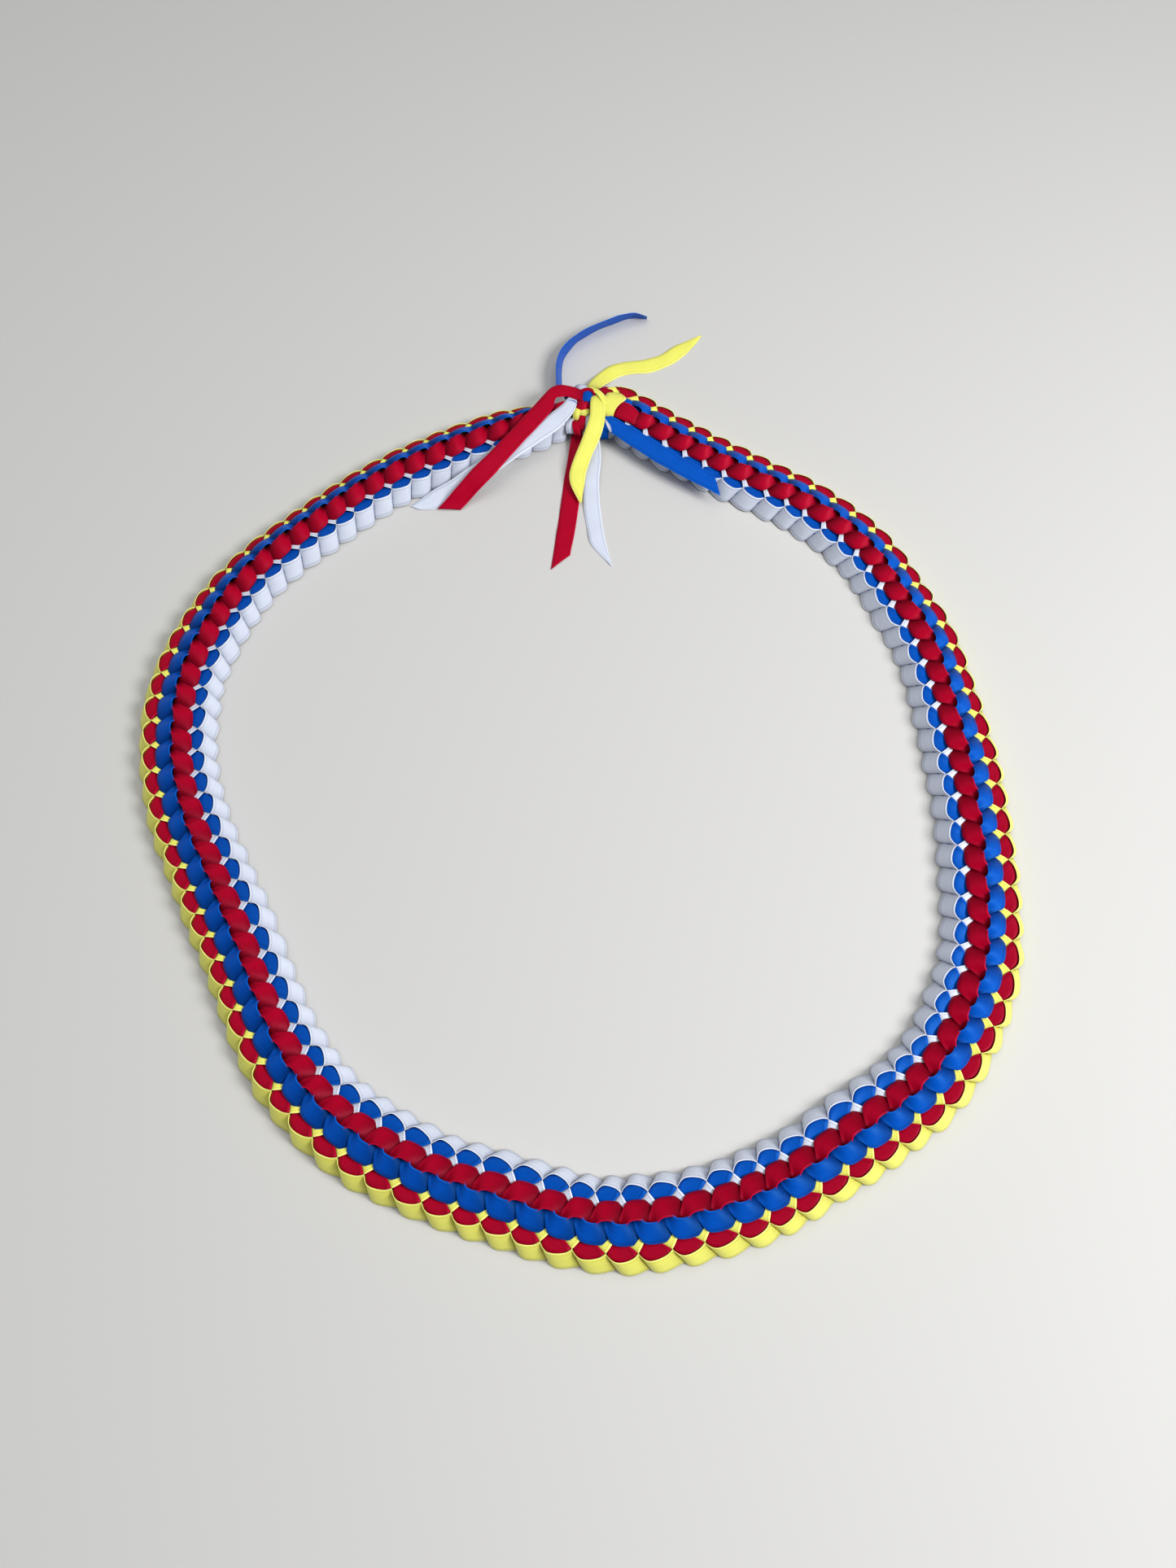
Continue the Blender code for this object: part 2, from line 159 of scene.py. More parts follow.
# Free ends: pairs of selvage points from the knot to the cut end, as (mm right, mm back, mm up)
TAILS = {
    "left_red_tail": [
        ((6.0, 187.4, 12.0), (5.6, 181.8, 11.4)), ((1.6, 188.8, 13.2), (1.6, 182.0, 12.2)),
        ((-2.8, 190.0, 13.6), (-2.8, 183.4, 12.6)), ((-7.4, 190.6, 13.8), (-6.8, 182.8, 12.9)),
        ((-11.6, 188.8, 13.9), (-9.4, 181.6, 13.1)), ((-15.4, 183.8, 13.9), (-10.6, 175.6, 13.2)),
        ((-19.8, 177.9, 13.8), (-13.6, 169.7, 13.3)), ((-28.2, 166.2, 13.7), (-21.4, 158.9, 13.1)),
        ((-38.2, 152.4, 13.5), (-31.0, 146.0, 12.6)), ((-46.1, 142.6, 12.8), (-38.8, 135.6, 11.2)),
        ((-53.9, 134.8, 10.6), (-46.2, 128.6, 7.9)), ((-61.6, 127.0, 6.4), (-52.9, 123.4, 3.8)),
        ((-67.0, 121.8, 3.4), (-56.4, 120.2, 1.6)), ((-71.2, 117.9, 1.4), (-59.0, 117.9, 0.5)),
    ],
    "left_white_tail": [
        ((-1.0, 186.4, 11.0), (2.2, 183.6, 11.0)), ((-3.0, 182.8, 11.9), (1.8, 178.0, 11.8)),
        ((-5.6, 178.8, 12.1), (-0.2, 172.4, 11.9)), ((-9.9, 174.5, 12.2), (-3.6, 167.0, 11.9)),
        ((-15.7, 168.9, 12.2), (-9.4, 160.6, 11.6)), ((-25.6, 160.8, 12.1), (-18.3, 153.4, 11.1)),
        ((-36.2, 152.2, 11.6), (-29.4, 144.8, 9.9)), ((-45.6, 144.6, 10.7), (-39.2, 137.4, 8.2)),
        ((-54.8, 138.6, 9.0), (-48.6, 131.4, 5.2)), ((-63.6, 133.4, 6.4), (-57.3, 126.4, 2.3)),
        ((-73.0, 129.3, 3.0), (-65.4, 122.6, 0.8)), ((-80.0, 125.0, 0.9), (-71.4, 118.5, 0.3)),
        ((-85.9, 120.1, 0.3), (-80.5, 118.0, 0.3)),
    ],
    "front_yellow_tail": [
        ((10.4, 186.4, 11.2), (15.2, 185.6, 11.8)), ((9.6, 182.4, 12.4), (16.2, 181.4, 12.6)),
        ((9.2, 178.0, 12.9), (17.0, 177.2, 12.9)), ((9.0, 171.6, 12.4), (17.2, 170.8, 12.3)),
        ((7.2, 164.6, 10.8), (16.2, 164.0, 10.7)), ((4.3, 156.8, 8.6), (13.7, 156.4, 8.4)),
        ((1.0, 148.4, 6.4), (10.2, 149.2, 6.3)), ((-1.8, 139.0, 4.4), (7.0, 138.6, 4.3)),
        ((-1.4, 132.6, 3.6), (6.2, 132.6, 3.6)), ((0.9, 126.6, 3.1), (5.2, 126.6, 3.1)),
        ((3.7, 120.8, 2.8), (4.7, 120.8, 2.8)),
    ],
    "front_red_tail": [
        ((1.0, 178.0, 7.0), (8.0, 178.0, 7.0)), ((-1.2, 163.0, 3.4), (7.4, 162.0, 3.4)),
        ((-3.0, 150.0, 0.8), (6.2, 148.6, 0.8)), ((-4.8, 137.0, 0.3), (4.4, 133.6, 0.3)),
        ((-6.4, 121.0, 0.3), (2.9, 118.8, 0.3)), ((-8.2, 105.0, 0.3), (1.0, 103.2, 0.3)),
        ((-9.9, 90.6, 0.3), (-0.8, 92.6, 0.3)), ((-11.0, 80.6, 0.3), (-1.2, 89.6, 0.3)),
    ],
    "front_white_tail": [
        ((3.0, 176.0, 9.0), (11.0, 175.0, 9.0)), ((5.4, 163.0, 5.2), (14.0, 162.0, 5.2)),
        ((6.3, 152.0, 2.6), (15.0, 149.6, 2.6)), ((5.5, 141.0, 2.0), (14.0, 137.0, 2.0)),
        ((5.2, 128.6, 0.8), (14.2, 124.0, 0.8)), ((6.0, 116.0, 0.3), (15.2, 112.0, 0.3)),
        ((7.6, 105.2, 0.3), (16.5, 102.4, 0.3)), ((9.2, 96.8, 0.3), (17.9, 94.4, 0.3)),
        ((12.6, 91.6, 0.3), (19.0, 89.2, 0.3)), ((20.2, 82.6, 0.3), (20.6, 83.0, 0.3)),
    ],
    "right_blue_tail": [
        ((14.6, 174.4, 10.4), (12.8, 167.6, 9.8)), ((20.6, 171.6, 10.8), (17.2, 163.8, 10.1)),
        ((27.6, 166.6, 11.0), (22.8, 158.8, 10.2)), ((37.0, 159.6, 11.1), (31.8, 151.4, 10.1)),
        ((47.4, 151.6, 11.1), (42.2, 142.9, 10.0)), ((56.4, 144.8, 11.0), (51.3, 136.4, 9.9)),
        ((65.8, 138.4, 10.9), (60.8, 130.2, 9.8)), ((71.2, 135.1, 10.7), (69.4, 125.0, 9.4)),
        ((73.8, 133.6, 10.6), (77.0, 120.6, 9.0)),
    ],
    "back_yellow_tail": [
        ((7.2, 197.0, 5.0), (14.0, 195.0, 5.6)), ((9.4, 203.4, 2.6), (16.8, 200.6, 2.6)),
        ((13.6, 210.6, 0.7), (20.6, 205.0, 0.6)), ((20.2, 216.4, 0.3), (25.6, 208.8, 0.3)),
        ((30.0, 219.8, 0.3), (33.2, 210.8, 0.3)), ((39.6, 221.0, 0.3), (42.6, 211.8, 0.3)),
        ((49.2, 225.0, 0.3), (53.6, 216.8, 0.3)), ((57.4, 231.4, 0.3), (62.0, 224.0, 0.3)),
        ((64.0, 235.0, 0.3), (67.2, 230.4, 0.3)), ((72.0, 239.0, 0.3), (72.4, 238.6, 0.3)),
    ],
    "back_blue_tail": [
        ((-6.2, 192.0, 3.0), (-9.2, 193.0, 9.4)), ((-6.4, 200.8, 1.4), (-9.4, 200.4, 9.2)),
        ((-6.7, 212.0, 0.6), (-9.4, 210.6, 9.0)), ((-5.5, 221.7, 0.3), (-7.3, 219.5, 8.9)),
        ((-1.4, 229.5, 0.3), (-2.6, 226.9, 9.0)), ((3.2, 235.2, 0.3), (3.0, 232.3, 9.1)),
        ((10.5, 241.0, 0.3), (11.0, 237.9, 9.1)), ((19.4, 246.2, 0.3), (19.8, 242.7, 8.9)),
        ((27.8, 250.3, 0.3), (28.1, 246.8, 8.5)), ((34.8, 252.1, 0.3), (34.6, 248.7, 7.6)),
        ((41.8, 251.7, 0.3), (41.5, 248.9, 4.6)),
    ],
}

# What each free end lies on
TAIL_RESTS = {
    "left_red_tail": ["left_white_tail_ribbon", "braided_white"],
    "left_white_tail": ["braided_white", "braided_red"],
    "front_yellow_tail": ["front_white_tail_ribbon", "front_red_tail_ribbon"],
    "front_red_tail": ["knot_core"],
    "front_white_tail": ["front_red_tail_ribbon"],
    "right_blue_tail": ["braided_yellow", "braided_red"],
    "back_yellow_tail": ["knot_core"],
    "back_blue_tail": ["knot_core"],
}

# Short runs of ribbon in the knot and where the braid runs into it, in the same terms
KNOT_RUNS = {
    "red": [
        [((1.6, 186.4, 11.0), (2.6, 183.4, 11.4)), ((4.2, 188.4, 12.2), (4.4, 185.9, 12.5)),
         ((6.9, 189.2, 12.8), (6.9, 187.0, 13.0)), ((9.6, 188.9, 12.9), (9.1, 186.8, 13.1)),
         ((11.8, 186.6, 12.6), (10.8, 184.9, 12.8)), ((12.4, 183.4, 11.2), (11.2, 182.6, 11.2))],
        [((1.4, 182.6, 11.0), (10.4, 183.4, 11.0)), ((2.4, 180.8, 11.4), (10.4, 181.6, 11.2)),
         ((3.4, 179.3, 10.8), (10.4, 179.4, 10.6)), ((4.5, 178.4, 9.6), (10.4, 175.8, 9.0))],
        [((3.6, 176.4, 7.6), (7.4, 177.6, 7.8)), ((3.2, 172.7, 9.2), (7.1, 174.6, 9.2)),
         ((2.9, 168.0, 9.4), (6.6, 169.4, 9.4)), ((3.0, 164.4, 8.2), (5.8, 163.6, 8.0))],
        [((-0.6, 171.4, 7.8), (2.6, 172.0, 8.0)), ((-0.5, 168.8, 9.2), (2.9, 169.1, 9.4)),
         ((-0.4, 164.9, 9.2), (3.7, 165.3, 9.4)), ((1.0, 161.6, 7.0), (4.3, 161.0, 7.0))],
        [((24.4, 182.2, 10.6), (18.4, 174.6, 9.0)), ((27.2, 180.7, 11.4), (21.6, 173.0, 9.5)),
         ((30.9, 178.1, 12.3), (26.4, 169.8, 9.9)), ((34.8, 174.3, 11.6), (31.2, 168.0, 9.2)),
         ((36.6, 172.0, 9.2), (33.6, 166.8, 7.6))],
        [((12.6, 192.2, 7.6), (15.6, 186.6, 8.4)), ((16.6, 194.2, 8.0), (19.0, 188.0, 8.8)),
         ((20.6, 194.2, 7.6), (22.6, 188.6, 8.2))],
    ],
    "yellow": [
        [((5.8, 193.6, 7.4), (7.2, 191.4, 9.0)), ((7.8, 191.8, 10.6), (8.6, 188.8, 11.8)),
         ((10.9, 189.9, 12.4), (11.1, 186.3, 12.9)), ((14.4, 187.2, 13.1), (12.9, 184.0, 13.3)),
         ((17.0, 184.1, 12.8), (14.8, 180.7, 13.2)), ((18.8, 180.8, 12.0), (16.4, 177.0, 12.4)),
         ((19.4, 176.4, 10.6), (16.6, 173.0, 10.8))],
        [((20.2, 191.6, 7.0), (25.2, 191.8, 6.4)), ((18.2, 187.4, 10.4), (27.0, 187.4, 9.4)),
         ((16.8, 182.8, 12.2), (28.6, 183.3, 10.8)), ((16.0, 178.3, 12.6), (25.0, 178.5, 12.0)),
         ((16.0, 174.5, 12.0), (22.6, 174.7, 11.9)), ((16.6, 171.0, 10.0), (21.2, 170.6, 10.4))],
        [((0.9, 183.4, 8.6), (3.7, 183.6, 8.8)), ((0.6, 180.7, 10.2), (3.8, 180.9, 10.4)),
         ((0.3, 176.6, 10.4), (3.8, 175.9, 10.6)), ((-0.3, 173.2, 9.8), (3.3, 172.0, 10.0)),
         ((-0.2, 170.8, 7.6), (2.2, 169.2, 7.6))],
        [((5.6, 181.4, 9.0), (10.0, 177.6, 9.0)), ((4.9, 179.3, 10.1), (9.2, 175.7, 9.9)),
         ((3.5, 176.0, 10.3), (8.1, 173.6, 10.0)), ((3.4, 172.6, 8.8), (5.4, 171.6, 8.6))],
    ],
    "white": [
        [((0.2, 194.4, 7.6), (1.6, 190.4, 9.6)), ((2.9, 194.4, 9.8), (3.8, 188.8, 11.6)),
         ((6.4, 193.8, 9.9), (6.0, 188.3, 11.6)), ((9.0, 193.3, 8.0), (8.4, 189.8, 9.8))],
        [((6.2, 177.0, 7.6), (8.9, 177.4, 7.6)), ((6.3, 173.7, 8.8), (8.9, 174.2, 8.8)),
         ((6.3, 169.2, 8.4), (8.6, 169.2, 8.4)), ((6.7, 164.7, 6.8), (8.2, 164.7, 6.8))],
        [((-3.4, 172.4, 7.8), (0.4, 173.0, 8.0)), ((-3.6, 169.7, 9.0), (0.5, 170.4, 9.1)),
         ((-4.0, 166.1, 8.6), (0.2, 166.0, 8.7)), ((-3.6, 163.2, 6.4), (1.2, 163.2, 6.4))],
        [((16.5, 170.0, 10.5), (17.6, 170.0, 10.5)), ((18.3, 164.4, 10.6), (19.8, 165.4, 10.7)),
         ((19.8, 161.0, 10.2), (21.0, 161.7, 10.2))],
    ],
    "blue": [
        [((-5.7, 188.6, 9.0), (-1.3, 188.6, 9.4)), ((-5.0, 185.4, 9.8), (-1.3, 185.4, 10.0)),
         ((-3.5, 182.8, 9.0), (-1.3, 182.9, 9.2))],
        [((16.8, 174.8, 9.4), (20.0, 173.6, 9.4)), ((15.8, 168.6, 9.6), (19.8, 168.0, 9.6)),
         ((15.0, 164.4, 8.8), (19.2, 163.8, 8.8)), ((14.6, 160.8, 5.0), (18.8, 160.6, 5.0))],
        [((21.8, 187.6, 8.0), (21.8, 181.4, 9.2)), ((26.4, 186.4, 8.8), (25.4, 179.9, 10.1)),
         ((31.9, 183.6, 9.2), (29.6, 176.6, 10.9)), ((37.7, 178.3, 8.2), (35.2, 172.3, 9.8))],
        [((3.8, 186.9, 11.0), (3.8, 181.0, 10.6)), ((5.8, 187.2, 12.2), (5.6, 180.9, 11.7)),
         ((7.9, 187.3, 12.7), (7.9, 180.6, 12.3)), ((10.0, 187.3, 12.4), (10.0, 180.8, 12.0)),
         ((12.0, 186.6, 11.0), (12.0, 181.0, 10.8))],
    ],
}

# A loose strip: arch over its width, ripples, and least height over the table. A row that is
# wider than NARROW_SHARE of the ribbon shows all of it. Then how far painted crease shade reaches
# from an end in the knot, and how dark it is there.
STRIP_ARCH = 0.25
RIPPLE_HEIGHT = 0.16
RIPPLE_LONG = 2.9
RIPPLE_SHORT = 1.7
OVER_TABLE = 0.16
NARROW_SHARE = 0.66
CREASE_SHADE_REACH = 2.2
END_CREASE_SHADE = 0.9

# Core of the knot: middle and half sizes, how it is wound, and its pleats
KNOT_MIDDLE = (7.0, 187.6, 5.6)
KNOT_HALF = (6.4, 6.2, 5.4)
KNOT_WINDINGS = 1.5
KNOT_STEPS = 84
KNOT_ACROSS_STEPS = 16
KNOT_CLOSING = 2.5
KNOT_GROWTH = 0.02
KNOT_PLEATS = 7
KNOT_PLEAT_DEPTH = 0.05
KNOT_OVER_TABLE = 0.2
# How much painted shade darkens the whole knot core, from 0 to 1
KNOT_SHADE = 0.25

# Colours of the satin: its own, in the shade of cords and stitches, painted highlight where light
# catches it, painted shade in creases, how dark the stitches are, and the tint of its sheen
SATIN = {
    "white": {"colour": (0.66, 0.71, 0.83), "shade": (0.28, 0.32, 0.44),
              "painted_highlight": (0.88, 0.92, 1.0), "crease_shade_colour": (0.16, 0.17, 0.24), "sewn": 0.8,
              "gloss": (0.95, 0.97, 1.0)},
    "blue": {"colour": (0.001, 0.078, 0.48), "shade": (0.000, 0.022, 0.17),
             "painted_highlight": (0.002, 0.15, 0.80), "crease_shade_colour": (0.000, 0.003, 0.04), "sewn": 0.6,
             "gloss": (0.10, 0.45, 1.0)},
    "red": {"colour": (0.40, 0.000, 0.016), "shade": (0.15, 0.000, 0.004),
            "painted_highlight": (0.60, 0.002, 0.04), "crease_shade_colour": (0.045, 0.000, 0.002), "sewn": 0.6,
            "gloss": (1.0, 0.12, 0.22)},
    "yellow": {"colour": (0.90, 0.88, 0.135), "shade": (0.48, 0.43, 0.06),
               "painted_highlight": (1.0, 1.0, 0.34), "crease_shade_colour": (0.22, 0.19, 0.02), "sewn": 0.6,
               "gloss": (1.0, 1.0, 0.55)},
}

# Weave, in metres: the ribbon's width, cords to a width, stitches and ribs, then where a stitch, a
# row of them and the selvage begin and reach full strength, and each one's height in the bump
WEAVE = {"Width": 0.010, "Cords": 26.0, "Stitch Spacing": 0.00095}
RIB_SPACING = 0.00042
STITCH_SLANT = 420.0
STITCH_ROW = 0.00125
STITCH_LENGTH = (0.26, 0.16)
STITCH_HALF = (0.00046, 0.0003)
SELVAGE_HALF = (0.0006, 0.0003)
STREAKS_ACROSS = 34.0
STREAKS_A_METRE = 140.0
CORD_HEIGHT = 0.35
RIB_HEIGHT = 0.12
STITCH_HEIGHT = -1.3
SELVAGE_HEIGHT = 1.2

# Where painted sheen streaks lighten and cords darken the colour, and how much they, the painted
# highlight on the selvage and the painted crease shade change it. Then the finish of the satin,
# with the bump's depth in metres.
SHEEN_STREAKS = (0.35, 0.8)
SHEEN_STREAK_SHARE = 0.35
DARK_CORDS = (0.2, -1.0)
CORD_SHARE = 0.22
SELVAGE_HIGHLIGHT_SHARE = 0.6
CREASE_SHADE_SHARE = 0.87
ROUGH_STREAKS = (0.3, 0.8)
ROUGHNESS = (0.36, 0.5)
BUMP_STRENGTH = 0.35
BUMP_DEPTH = 0.00005
SHEEN = 0.05
SHEEN_ROUGHNESS = 0.4
GLOSS = 0.35

# Camera, floor and lights: place in metres, size and power of each light, which all aim at the ring
LENS = 27.03
CAMERA_PLACE = (0.00907, -0.26537, 0.508)
CAMERA_DOWN = 66
FLOOR_HALF = 4.0
FLOOR_COLOUR = (0.62, 0.61, 0.59, 1)
LIGHTS = {
    "window": ((0.9, -0.35, 0.95), 0.5, 16.0),
    "fill": ((-0.9, 0.2, 1.1), 1.2, 2.5),
    "sky": ((0.0, 0.3, 1.6), 1.6, 8.0),
}
SKY_COLOUR = (0.9, 0.94, 1.0, 1)
SKY_STRENGTH = 0.25


def smooth_route(points, steps):
    """Points on a Catmull-Rom curve through the given ones."""
    given = np.array(points, dtype=float)
    padded = np.vstack([2 * given[0] - given[1], given, 2 * given[-1] - given[-2]])
    along = []
    for index in range(len(given) - 1):
        before, start, end, after = padded[index:index + 4]
        for step in range(steps):
            x = step / steps
            along.append(0.5 * (2 * start + (end - before) * x
                                + (2 * before - 5 * start + 4 * end - after) * x ** 2
                                + (3 * start - before - 3 * end + after) * x ** 3))
    along.append(given[-1])
    return np.array(along)


def route_length(points):
    return float(np.hypot(*np.diff(points, axis=0).T).sum())


def smooth_stations(stations, count, shift=None):
    """Count + 1 evenly spaced rows on a smooth run through the stations, each row two selvage
    points and four values. With a shift, the run goes on into its own next turn."""
    rows = np.array([[*first, *second, *values] for first, second, *values in stations])
    if shift is None:
        padded = np.vstack([2 * rows[0] - rows[1], rows, 2 * rows[-1] - rows[-2]])
    else:
        step = np.array([*shift, *shift, 0.0, 0.0, 0.0, 0.0])
        padded = np.vstack([rows[-1] - step, rows, rows[0] + step, rows[1] + step])
    gaps = np.diff((padded[:, 0:3] + padded[:, 3:6]) / 2, axis=0)
    gaps = np.sqrt((gaps ** 2).sum(axis=1)) + LEAST_GAP
    knots = np.concatenate([[0.0], np.cumsum(gaps)])
    slopes = (padded[2:] - padded[:-2]) / (knots[2:] - knots[:-2])[:, None]
    out = []
    for place in np.linspace(knots[1], knots[-2], count + 1):
        index = min(max(int(np.searchsorted(knots, place, side="right")) - 1, 1), len(padded) - 3)
        span = knots[index + 1] - knots[index]
        x = (place - knots[index]) / span
        out.append((2 * x ** 3 - 3 * x ** 2 + 1) * padded[index]
                   + (x ** 3 - 2 * x ** 2 + x) * span * slopes[index - 1]
                   + (3 * x ** 2 - 2 * x ** 3) * padded[index + 1]
                   + (x ** 3 - x ** 2) * span * slopes[index])
    return np.array(out)


def ribbon_rows(rows):
    """Grid of points across each row, in mm."""
    share = np.linspace(0, 1, ACROSS_STEPS + 1)[None, :, None]
    points = rows[:, None, 0:3] * (1 - share) + rows[:, None, 3:6] * share
    arch = 4 * share[:, :, 0] * (1 - share[:, :, 0])
    points[:, :, 1] += rows[:, None, 8] * arch
    points[:, :, 2] += rows[:, None, 6] * arch - rows[:, None, 7] * (1 - share[:, :, 0]) ** 5
    return points


def strip_mesh(name, points, across, along, crease_shades):
    """Quads over a grid of points in mm, with a ribbon UV map (share of the width, metres along)
    and how much painted shade darkens each point where the ribbon folds under."""
    count, width = points.shape[:2]
    faces = []
    for row in range(count - 1):
        for column in range(width - 1):
            low = row * width + column
            faces.append((low, low + 1, low + width + 1, low + width))
    mesh = bpy.data.meshes.new(name)
    mesh.from_pydata((points.reshape(-1, 3) * MM).tolist(), [], faces)
    layer = mesh.uv_layers.new(name="ribbon")
    flat = np.stack([np.broadcast_to(across, (count, width)),
                     np.broadcast_to(along[:, None], (count, width))], axis=2).reshape(-1, 2)
    for loop in mesh.loops:
        layer.data[loop.index].uv = flat[loop.vertex_index]
    # Painted crease shade, read by the satin to darken its colour
    shade_depth = mesh.attributes.new("crease", "FLOAT", "POINT")
    shade_depth.data.foreach_set("value", np.repeat(np.clip(crease_shades, 0, 1), width).astype(np.float32))
    for polygon in mesh.polygons:
        polygon.use_smooth = True
    return mesh


def row_lengths(points):
    """Metres along the ribbon's middle line at each row."""
    middle = points[:, points.shape[1] // 2]
    steps = np.sqrt((np.diff(middle, axis=0) ** 2).sum(axis=1))
    return np.concatenate([[0.0], np.cumsum(steps)]) * MM


def turn_cell(name, stations, pitch, turns_over):
    """Mesh of the turns that repeat: one, or two where each turn shows the ribbon's other face.
    Second comes the metres of ribbon in it."""
    scale = pitch / TURN_LENGTH
    table = [((first[0] * scale, *first[1:]), (second[0] * scale, *second[1:]), *values)
             for first, second, *values in stations]
    steps = TURN_STEPS
    if turns_over:
        table += [((second[0] + pitch, *second[1:]), (first[0] + pitch, *first[1:]),
                   rise, -roll, *values)
                  for first, second, rise, roll, *values in table]
        steps = 2 * TURN_STEPS
        pitch = 2 * pitch
    rows = smooth_stations(table, steps, (pitch, 0.0, 0.0))
    points = ribbon_rows(rows)
    along = row_lengths(points)
    share = np.linspace(0, 1, ACROSS_STEPS + 1)
    return strip_mesh(name, points, share, along, rows[:, 9]), float(along[-1])


def laid_strip(name, stations, spacing, shade_at_start, shade_at_end):
    """Mesh of a short run or a free end of ribbon through pairs of selvage points, with ripples."""
    table = [(first, second, STRIP_ARCH, 0.0, 0.0, 0.0) for first, second in stations]
    middles = np.array([(np.array(first) + np.array(second)) / 2 for first, second in stations])
    length = float(np.sqrt((np.diff(middles, axis=0) ** 2).sum(axis=1)).sum())
    rows = smooth_stations(table, max(int(length / spacing), LEAST_ROWS))
    points = ribbon_rows(rows)
    along = row_lengths(points)
    share = np.linspace(0, 1, ACROSS_STEPS + 1)
    run = along[:, None] / MM
    ripple = np.sin(run / RIPPLE_LONG) * np.cos(2.6 * share)[None, :]
    ripple += 0.5 * np.sin(run / RIPPLE_SHORT + 1.3) * np.sin(3.4 * share + 0.4)[None, :]
    points[:, :, 2] = np.maximum(points[:, :, 2] + RIPPLE_HEIGHT * ripple, OVER_TABLE)
    points[:, :, 0:2] -= np.array(RING_MIDDLE)
    # A narrow row is a slanting cut or a fold, and shows only a part of the ribbon's width
    width = np.sqrt(((rows[:, 0:3] - rows[:, 3:6]) ** 2).sum(axis=1)) / RIBBON_WIDTH
    across = share[None, :] * width[:, None]
    across[width > NARROW_SHARE] = share
    # Painted crease shade near the ends that lie in the knot
    near_start = np.exp(-along / MM / CREASE_SHADE_REACH) * shade_at_start
    near_end = np.exp(-(along[-1] - along) / MM / CREASE_SHADE_REACH) * shade_at_end
    return strip_mesh(name, points, across, along, np.maximum(near_start, near_end))


def wound_core(name):
    """Mesh of the ribbon wound round inside the knot, drawn tight into a pleated ball."""
    angles = np.linspace(0, 2 * math.pi * KNOT_WINDINGS, KNOT_STEPS)
    share = np.linspace(0, 1, KNOT_ACROSS_STEPS + 1)
    tilt = (share - 0.5) * KNOT_CLOSING
    pleat = 1 + KNOT_PLEAT_DEPTH * np.cos(2 * math.pi * KNOT_PLEATS * share)
    grow = 1 + KNOT_GROWTH * angles / math.pi
    reach = (np.cos(tilt) * pleat)[None, :] * grow[:, None]
    points = np.stack([KNOT_MIDDLE[0] + KNOT_HALF[0] * reach * np.cos(angles)[:, None],
                       np.broadcast_to(KNOT_MIDDLE[1] + KNOT_HALF[1] * np.sin(tilt), reach.shape),
                       KNOT_MIDDLE[2] - KNOT_HALF[2] * reach * np.sin(angles)[:, None]], axis=2)
    points[:, :, 0:2] -= np.array(RING_MIDDLE)
    points[:, :, 2] = np.maximum(points[:, :, 2], KNOT_OVER_TABLE)
    # Painted shade, the same all over the knot core
    crease_shades = np.full(len(angles), KNOT_SHADE)
    return strip_mesh(name, points, share, row_lengths(points), crease_shades)


def joined_mesh(name, meshes):
    """One mesh of several strips."""
    pieces = []
    for mesh in meshes:
        piece = bpy.data.objects.new(mesh.name, mesh)
        bpy.context.scene.collection.objects.link(piece)
        pieces.append(piece)
    with bpy.context.temp_override(active_object=pieces[0], selected_editable_objects=pieces):
        bpy.ops.object.join()
    whole = pieces[0].data
    whole.name = name
    bpy.data.objects.remove(pieces[0])
    return whole


def thicken(piece):
    skin = piece.modifiers.new("thickness", "SOLIDIFY")
    skin.thickness = RIBBON_THICKNESS * MM
    skin.offset = 0
    skin.use_rim = True


def flat_mesh(piece):
    """The piece's evaluated mesh in a new object of the same name."""
    evaluated = bpy.context.evaluated_depsgraph_get()
    mesh = bpy.data.meshes.new_from_object(piece.evaluated_get(evaluated))
    name = piece.name
    bpy.data.objects.remove(piece)
    made = bpy.data.objects.new(name, mesh)
    mesh.name = name
    bpy.context.scene.collection.objects.link(made)
    for polygon in mesh.polygons:
        polygon.use_smooth = True
    return made


def input_named(tree, name):
    return next(item.identifier for item in tree.interface.items_tree
                if item.item_type == "SOCKET" and item.in_out == "INPUT" and item.name == name)


class Nodes:
    """Short ways to add linked nodes to a tree."""

    def __init__(self, tree):
        self.tree = tree

    def add(self, kind, values=None, **settings):
        node = self.tree.nodes.new(kind)
        for key, value in settings.items():
            setattr(node, key, value)
        for key, value in (values or {}).items():
            socket = node.inputs[key]
            if isinstance(value, bpy.types.NodeSocket):
                self.tree.links.new(value, socket)
            else:
                socket.default_value = value
        return node

    def maths(self, operation, *values):
        return self.add("ShaderNodeMath", dict(enumerate(values)), operation=operation).outputs[0]

    def vector(self, operation, *values):
        node = self.add("ShaderNodeVectorMath", dict(enumerate(values)), operation=operation)
        return node.outputs[0]

    def scaled(self, vector, factor):
        node = self.add("ShaderNodeVectorMath", {0: vector, "Scale": factor}, operation="SCALE")
        return node.outputs[0]

    def point(self, x=0.0, y=0.0, z=0.0):
        return self.add("ShaderNodeCombineXYZ", {0: x, 1: y, 2: z}).outputs[0]

    def parts(self, vector):
        return self.add("ShaderNodeSeparateXYZ", {0: vector}).outputs

    def ranged(self, value, start, end, low=0.0, high=1.0, interpolation="LINEAR"):
        """The value's place between start and end, carried to between low and high."""
        node = self.add("ShaderNodeMapRange",
                        {"Value": value, "From Min": start, "From Max": end,
                         "To Min": low, "To Max": high}, interpolation_type=interpolation)
        return node.outputs[0]

    def smooth(self, value, start, end, low, high):
        return self.ranged(value, start, end, low, high, "SMOOTHSTEP")

    def blend(self, factor, first, second):
        """Two colours mixed."""
        node = self.add("ShaderNodeMix", {0: factor, 6: first, 7: second}, data_type="RGBA")
        return node.outputs[2]


